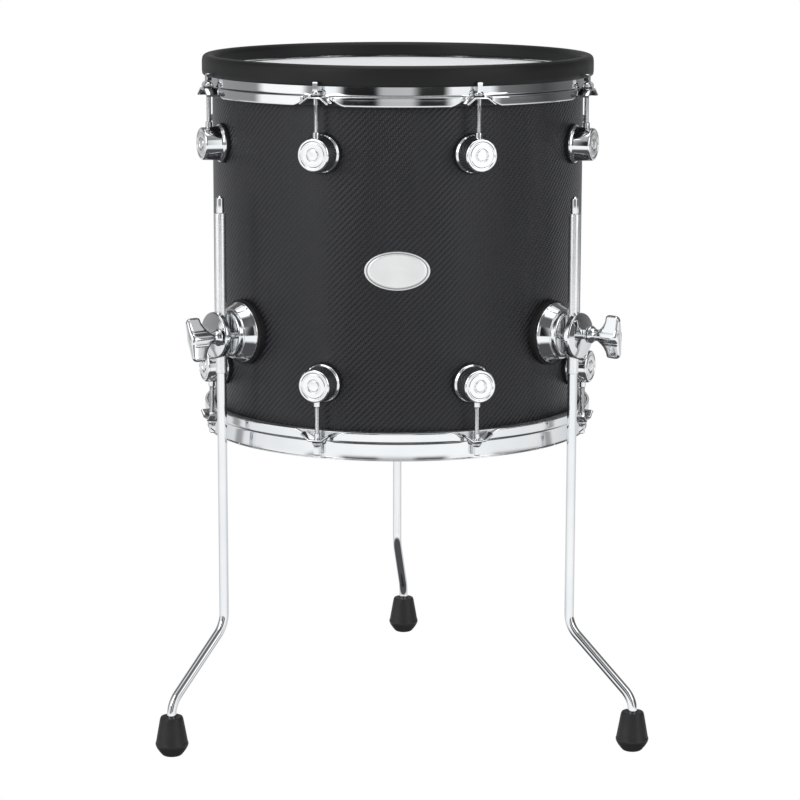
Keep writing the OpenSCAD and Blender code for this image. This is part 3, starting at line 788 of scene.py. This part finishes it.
def bracket_piece():
    """Three round brackets, each with a boss that the sleeve lies against and a pin for its cap."""
    base, face = BRACKET_BASE_R - BRACKET_SEAT, BRACKET_FACE_R - BRACKET_SEAT
    body = rounded([
        (0, 0), (28.5, 0, 0.2), (28.5, 2.5, 0.7), (27.3, 4.2, 0.8), (23.2, base - 0.1, 0.5),
        (21.9, base, 0.3), (CLAMP_R, base + 0.5, 0.3), (CLAMP_R, face - 0.9, 0.4), (20.4, face, 0.4),
        (18.6, face, 0.4), (17.9, face - 0.8, 0.3), (0, face - 0.8),
    ], 0.3, 4)
    pin = rounded([(0, 0), (2.0, 0, 0.1), (2.0, 14.0, 0.4), (0, 14.0)], 0.3)
    shape = Shape()
    for side in SIDES:
        m = at_angle(LEG[side]["az"], BRACKET_Z)
        shape.lathe(body, m @ outward(BRACKET_SEAT), n=120)
        shape.lathe(pin, m @ outward(BRACKET_FACE_R, PIN_SIDE), n=28)
    shape.piece("clamp_bases", ["leg_brackets"], MAT["chrome"], TURNED_SHARP)


def cap_piece(side):
    """A domed disc, with a groove for the leg and a hole for the bracket's pin."""
    m = at_angle(LEG[side]["az"], BRACKET_Z)
    rise = CAP_TOP_R - CAP_R
    rim = CAP_RIM_R - CAP_R
    profile = rounded([
        (0, 0), (20.6, 0, 0.3), (CLAMP_R, 0.9, 0.4), (CLAMP_R, rim - 1.1, 0.4), (20.6, rim - 0.1, 0.4),
        (19.6, rim + 0.15, 0.5), (14, rise - 0.75, 2.0), (7, rise - 0.15, 2.0), (0, rise),
    ], 0.4, 4)
    cap = Shape().lathe(profile, m @ outward(CAP_R), n=120)
    obj = cap.piece(side + "_cap", [side + "_clamp_cap"], MAT["chrome"], TURNED_SHARP)
    reach = 30
    groove = [(0, -reach), (LEG_GROOVE_R, -reach), (LEG_GROOVE_R, reach), (0, reach)]
    tool = Shape().lathe(groove, m @ Matrix.Translation((LEG[side]["r"], 0, 0)), n=64)
    pin_hole = [(0, -4), (2.35, -4), (2.35, 5.9), (0, 5.9)]
    tool.lathe(pin_hole, m @ outward(CAP_R, PIN_SIDE), n=32)
    carve(obj, tool)


def carve(obj, tool):
    """Takes a shape away from a piece, for good."""
    mesh = tool.mesh("tool")
    cutter = bpy.data.objects.new("tool", mesh)
    bpy.context.scene.collection.objects.link(cutter)
    modifier = obj.modifiers.new("carve", "BOOLEAN")
    modifier.operation = "DIFFERENCE"
    modifier.solver = "EXACT"
    modifier.object = cutter
    bpy.context.view_layer.update()
    done = bpy.data.meshes.new_from_object(obj.evaluated_get(bpy.context.evaluated_depsgraph_get()))
    obj.modifiers.clear()
    old = obj.data
    done.name = old.name + "_carved"
    obj.data = done
    done.set_sharp_from_angle(angle=math.radians(TURNED_SHARP))
    bpy.data.meshes.remove(old)
    bpy.data.objects.remove(cutter)
    bpy.data.meshes.remove(mesh)


def knob_piece(side):
    """A wing knob: a round neck and a flat wing across its end, thickest in the middle."""
    m = (at_angle(LEG[side]["az"], BRACKET_Z) @ Matrix.Translation((0, STUD_SIDE, 0))
         @ Matrix.Rotation(math.radians(WING_TURN[side]), 4, "X"))
    neck_end = KNOB_END_R - KNOB_R - 4
    neck = rounded([
        (3.1, 0, 0.2), (8.2, 0, 0.4), (8.1, 1.2, 0.6), (6.4, 3.0, 1.2), (5.6, 5.5, 1.6), (5.3, 9.0, 2.0),
        (5.3, 16, 2.0), (5.3, neck_end, 0.6), (0, neck_end),
    ], 0.4, 4, closed=False)
    shape = Shape().lathe(neck, m @ outward(KNOB_R), n=56)
    shape.add(*wing_skin(), m)
    shape.piece(side + "_wing", [side + "_wing_knob"], MAT["chrome"], 38)


WING_FROM = KNOB_R + 4.6
WING_REACH = KNOB_END_R - WING_FROM
WING_HALF = 20.5


def wing_level(h):
    """The wing's inner end, outer end and half thickness at a height from its middle."""
    corner, inner_corner, middle = 5.0, 3.0, 2.0
    a = abs(h)
    tuck = max(0.0, a - (WING_HALF - corner))
    outer = WING_REACH - corner + math.sqrt(max(0.0, corner * corner - tuck * tuck))
    lean = min(1.0, max(0.0, a - middle) / (WING_HALF - middle))
    inner = (WING_REACH - 14.2) * (1 - (1 - lean) ** 2.4)
    tuck = max(0.0, a - (WING_HALF - inner_corner))
    inner += inner_corner - math.sqrt(max(0.0, inner_corner * inner_corner - tuck * tuck))
    ridge = 6.4 * math.sqrt(max(0.0, 1 - (a / 6.9) ** 2))
    blade = 2.2 + 2.9 * (1 - a / WING_HALF)
    shoulder = 0.35 * math.exp(-((a - 5.6) / 1.2) ** 2)
    tip = math.sqrt(max(0.0, 1 - smoothstep(WING_HALF - 2.4, WING_HALF + 0.2, a) ** 2))
    return inner, outer, (max(ridge, blade) + shoulder) * tip


def wing_skin():
    """The wing as two grids of points, one for each face, which share their inner and outer edges."""
    cols, rows = 24, 83
    verts, faces = [], []
    one_face, other_face = [], []
    for j in range(rows):
        h = -WING_HALF + 2 * WING_HALF * j / (rows - 1)
        inner, outer, thick = wing_level(h)
        row_a, row_b = [], []
        for i in range(cols):
            q = -math.cos(math.pi * i / (cols - 1))
            x = WING_FROM + (inner + (outer - inner) * (q + 1) / 2)
            half = thick * (max(0.0, 1 - abs(q) ** 9)) ** (1 / 3.2)
            row_a.append(len(verts))
            verts.append((x, half, h))
            if 0 < i < cols - 1:
                row_b.append(len(verts))
                verts.append((x, -half, h))
            else:
                row_b.append(row_a[-1])
        one_face.append(row_a)
        other_face.append(row_b)
    for j in range(rows - 1):
        for i in range(cols - 1):
            for grid in (one_face, other_face):
                faces.append((grid[j][i], grid[j][i + 1], grid[j + 1][i + 1], grid[j + 1][i]))
    for row in (0, rows - 1):
        faces.append(tuple(one_face[row] + other_face[row][-2:0:-1]))
    return verts, faces


# ---- legs ----


def leg_path(leg):
    """The centre line, from the top down, in the leg's own plane: x along the foot's way."""
    bend, slope = 28.0, math.radians(45)
    foot_socket = 7.0
    inset = bend * (1 - math.cos(slope))
    length = (leg["offset"] - 2 * inset) / math.sin(slope)
    top = leg["foot_h"] + 2 * bend * math.sin(slope) + length * math.cos(slope)
    points = [(0, leg["sleeve"][1] - 0.5), (0, 420), (0, 250), (0, top)]
    steps = 14
    for k in range(1, steps + 1):
        a = slope * k / steps
        points.append((bend * (1 - math.cos(a)), top - bend * math.sin(a)))
    x, z = points[-1]
    x += length * math.sin(slope)
    z -= length * math.cos(slope)
    points.append((x, z))
    for k in range(1, steps + 1):
        a = slope * (1 - k / steps)
        outwards = bend * (math.cos(a) - math.cos(slope))
        downwards = bend * (math.sin(slope) - math.sin(a))
        points.append((x + outwards, z - downwards))
    points.append((leg["offset"], foot_socket))
    return points


def sleeve_piece(side, upright):
    low, high = LEG[side]["sleeve"]
    profile = rounded([
        (SLEEVE_BORE_R, low, 0.15), (SLEEVE_R, low, 0.35),
        (SLEEVE_R, high, 0.35), (SLEEVE_BORE_R, high, 0.15),
    ], 0.3, 4)
    sleeve = Shape().lathe(profile, upright, n=64, closed=True)
    sleeve.piece(side + "_knurled_sleeve", [side + "_leg_sleeve"], MAT["knurl_" + side])


def bent_rod_piece(side, upright, m):
    """The rod: a round section along the leg's path, and a slimmer end inside and above the sleeve."""
    leg = LEG[side]
    path = leg_path(leg)
    n = 48
    angles = [2 * math.pi * k / n for k in range(n)]
    circle = [(LEG_ROD_R * math.cos(a), LEG_ROD_R * math.sin(a)) for a in angles]
    rings = []
    for i, (x, z) in enumerate(path):
        before = Vector(path[max(i - 1, 0)])
        after = Vector(path[min(i + 1, len(path) - 1)])
        along = (after - before).normalized()
        rings.append([(x - along.y * u, v, z + along.x * u) for u, v in circle])
    shape = Shape().sweep(rings, m)
    stem = leg["sleeve"][1] - 2
    top = leg["top"]
    tip = [(0, stem), (3.7, stem), (3.7, top - 2.3, 0.5), (1.0, top - 0.1, 0.6), (0, top)]
    shape.lathe(rounded(tip, 0.3, 4), upright, n=40)
    shape.piece(side + "_bent_rod", [side + "_leg_rod"], MAT["chrome"], 30)


def foot_piece(side, m):
    """A round rubber foot, widest above the floor, with a socket for the rod."""
    leg = LEG[side]
    h = leg["foot_h"]
    wide, socket_r, socket_floor = 15.5, 4.55, 6.9
    profile = rounded([
        (0, 0), (8.0, 0, 0.6), (9.4, 0.8, 0.9), (12.7, 4.9, 1.6), (14.9, 8.6, 1.6), (wide, 10.6, 0.6),
        (wide, 11.8, 0.6), (14.9, 13.4, 1.0), (11.0, h - 2.4, 1.4), (10.2, h - 0.5, 0.7), (9.4, h - 0.2, 0.4),
        (socket_r, h - 0.2, 0.2), (socket_r, socket_floor), (0, socket_floor),
    ], 0.3, 5)
    foot = Shape().lathe(profile, m @ Matrix.Translation((leg["offset"], 0, 0)), n=72)
    foot.piece(side + "_rubber_foot", [side + "_foot"], MAT["foot_rubber"], 40)


def leg_pieces(side):
    leg = LEG[side]
    upright = at_angle(leg["az"]) @ Matrix.Translation((leg["r"], 0, 0))
    m = upright @ Matrix.Rotation(math.radians(leg["foot_az"] - leg["az"]), 4, "Z")
    sleeve_piece(side, upright)
    bent_rod_piece(side, upright, m)
    foot_piece(side, m)


# ---- trigger cone ----


def cone_piece():
    low, high = mm_box("trigger_cone")
    r = (high.x - low.x) / 2
    tip_r = 9
    profile = rounded([(0, low.z), (r, low.z, 1.2), (tip_r, high.z, 2.0), (0, high.z)], 0.8, 5)
    obj = Shape().lathe(profile, n=64).piece("foam_cone", ["trigger_cone"], MAT["foam"], 50)


# ---- all the pieces ----

wrap_piece()
badge_piece()
hoop_piece("upper_hoop", "top_hoop", False)
hoop_piece("lower_hoop", "bottom_hoop", True)
cover_piece()
head_pieces()
head_ring_pieces()
lug_pieces()
nut_piece()
rod_pieces()
bracket_piece()
for one_side in SIDES:
    cap_piece(one_side)
    knob_piece(one_side)
    leg_pieces(one_side)
cone_piece()

# ---- camera and light ----


def camera():
    """In front of the drum and a little above it, looking slightly down."""
    lens, sensor = 123.84, 36
    aside, back, height = 0.00275, 2.6484, 0.8134
    tilt, roll = math.radians(79.203), math.radians(0.123)
    data = bpy.data.cameras.new("camera")
    data.lens = lens
    data.sensor_width = sensor
    data.clip_end = 50
    obj = bpy.data.objects.new("camera", data)
    obj.matrix_world = (
        Matrix.Translation((AXIS_X * MM + aside, AXIS_Y * MM - back, height))
        @ Matrix.Rotation(tilt, 4, "X") @ Matrix.Rotation(roll, 4, "Z")
    )
    bpy.context.scene.collection.objects.link(obj)
    bpy.context.scene.camera = obj


def area_light(name, place, width, power, tall=None):
    """A soft box that faces the middle of the drum."""
    data = bpy.data.lights.new(name, "AREA")
    data.shape = "RECTANGLE"
    data.size = width
    data.size_y = tall or width
    data.energy = power
    obj = bpy.data.objects.new(name, data)
    at = Vector(place)
    faces = at - Vector((0, 0, 0.45))
    obj.matrix_world = Matrix.Translation(at) @ faces.to_track_quat("Z", "Y").to_matrix().to_4x4()
    bpy.context.scene.collection.objects.link(obj)


# What the bright metal reflects, as brightness by azimuth from the front: AROUND in the level band,
# SWEEP in the band below it and CEILING in the band above
AROUND = [
    (-180, 0.5), (-120, 0.35), (-91, 0.3), (-85, 1.15), (-58, 1.2), (-53, 0.3), (-47, 0.25), (-43, 1.2),
    (-36, 1.1), (-31, 0.02), (-13, 0.015), (-9, 0.55), (8, 0.6), (13, 0.03), (27, 0.03), (32, 1.1), (56, 1.1),
    (62, 0.2), (96, 0.08), (130, 0.2), (180, 0.5),
]
SWEEP = [
    (-180, 0.75), (-130, 0.8), (-116, 0.9), (-113, 0.4), (-108, 0.4), (-105, 0.95), (-40, 1.15), (0, 1.15),
    (40, 1.15), (99, 0.92), (101, 0.4), (105, 0.4), (108, 0.9), (130, 0.8), (180, 0.75),
]
CEILING = [
    (-180, 0.2), (-140, 0.12), (-95, 0.14), (-80, 0.9), (-45, 0.75), (-20, 0.15), (0, 0.12), (30, 0.25),
    (60, 0.7), (80, 0.6), (95, 0.12), (140, 0.12), (180, 0.2),
]
BELOW = (0.07, 0.07, 0.075, 1)
OVERHEAD = (0.9, 0.9, 0.9, 1)
BRIGHTEST = 1.25


def studio_world():
    """Soft boxes and dark gaps for the metal to reflect, even light for the rest, and white to look at."""
    world = bpy.data.worlds.new("studio")
    bpy.context.scene.world = world
    world.use_nodes = True
    tree = world.node_tree
    tree.nodes.clear()
    new, link = tree.nodes.new, tree.links.new
    coords = new("ShaderNodeTexCoord")
    split = new("ShaderNodeSeparateXYZ")
    link(coords.outputs["Generated"], split.inputs[0])

    x, y, height = split.outputs
    front = math_node(tree, "MULTIPLY", (y, -1.0))
    turn = math_node(tree, "ARCTAN2", (x, front))
    share = math_node(tree, "MULTIPLY", (math_node(tree, "ADD", (turn, math.pi)), 0.5 / math.pi))

    def round_bands(table):
        """A table's brightness at each azimuth, as a share of BRIGHTEST."""
        node = new("ShaderNodeValToRGB")
        elements = node.color_ramp.elements
        elements.remove(elements[-1])
        for i, (az, value) in enumerate(table):
            place = (az + 180) / 360
            stop = elements[0] if i == 0 else elements.new(place)
            stop.position = place
            v = value / BRIGHTEST
            stop.color = (v * 0.98, v * 0.992, v, 1)
        link(share, node.inputs[0])
        return node.outputs[0]

    def over(low, high, start, end):
        """low below the height start, high above end, and a soft change between."""
        part = new("ShaderNodeMapRange")
        part.interpolation_type = "SMOOTHSTEP"
        link(height, part.inputs["Value"])
        part.inputs["From Min"].default_value = start
        part.inputs["From Max"].default_value = end
        node = new("ShaderNodeMix")
        node.data_type = "RGBA"
        link(part.outputs[0], node.inputs["Factor"])
        for value, key in ((low, "A"), (high, "B")):
            socket = next(i for i in node.inputs if i.name == key and i.type == "RGBA")
            if isinstance(value, tuple):
                socket.default_value = value
            else:
                link(value, socket)
        return next(o for o in node.outputs if o.type == "RGBA")

    lights = over(BELOW, round_bands(SWEEP), -0.62, -0.42)
    lights = over(lights, round_bands(AROUND), -0.16, -0.1)
    lights = over(lights, round_bands(CEILING), 0.36, 0.5)
    lights = over(lights, OVERHEAD, 0.86, 0.95)
    seen = new("ShaderNodeBackground")
    link(lights, seen.inputs[0])
    seen.inputs[1].default_value = BRIGHTEST
    even = new("ShaderNodeBackground")
    even.inputs[0].default_value = (1, 1, 1, 1)
    even.inputs[1].default_value = 1.0
    path = new("ShaderNodeLightPath")
    both = new("ShaderNodeMixShader")
    link(path.outputs["Is Glossy Ray"], both.inputs[0])
    link(even.outputs[0], both.inputs[1])
    link(seen.outputs[0], both.inputs[2])
    out = new("ShaderNodeOutputWorld")
    link(both.outputs[0], out.inputs[0])


def studio():
    """Plain white all round and no floor, so that a leg let down below its resting place is still seen."""
    studio_world()
    area_light("key_left", (-2.0, -2.2, 1.7), 1.2, 14, tall=1.8)
    area_light("key_right", (2.3, -1.7, 1.5), 1.2, 9, tall=1.8)
    area_light("overhead", (0.0, 0.1, 2.7), 2.4, 14)
    bpy.context.scene.view_settings.view_transform = "Standard"
    bpy.context.scene.view_settings.look = "None"


camera()
studio()
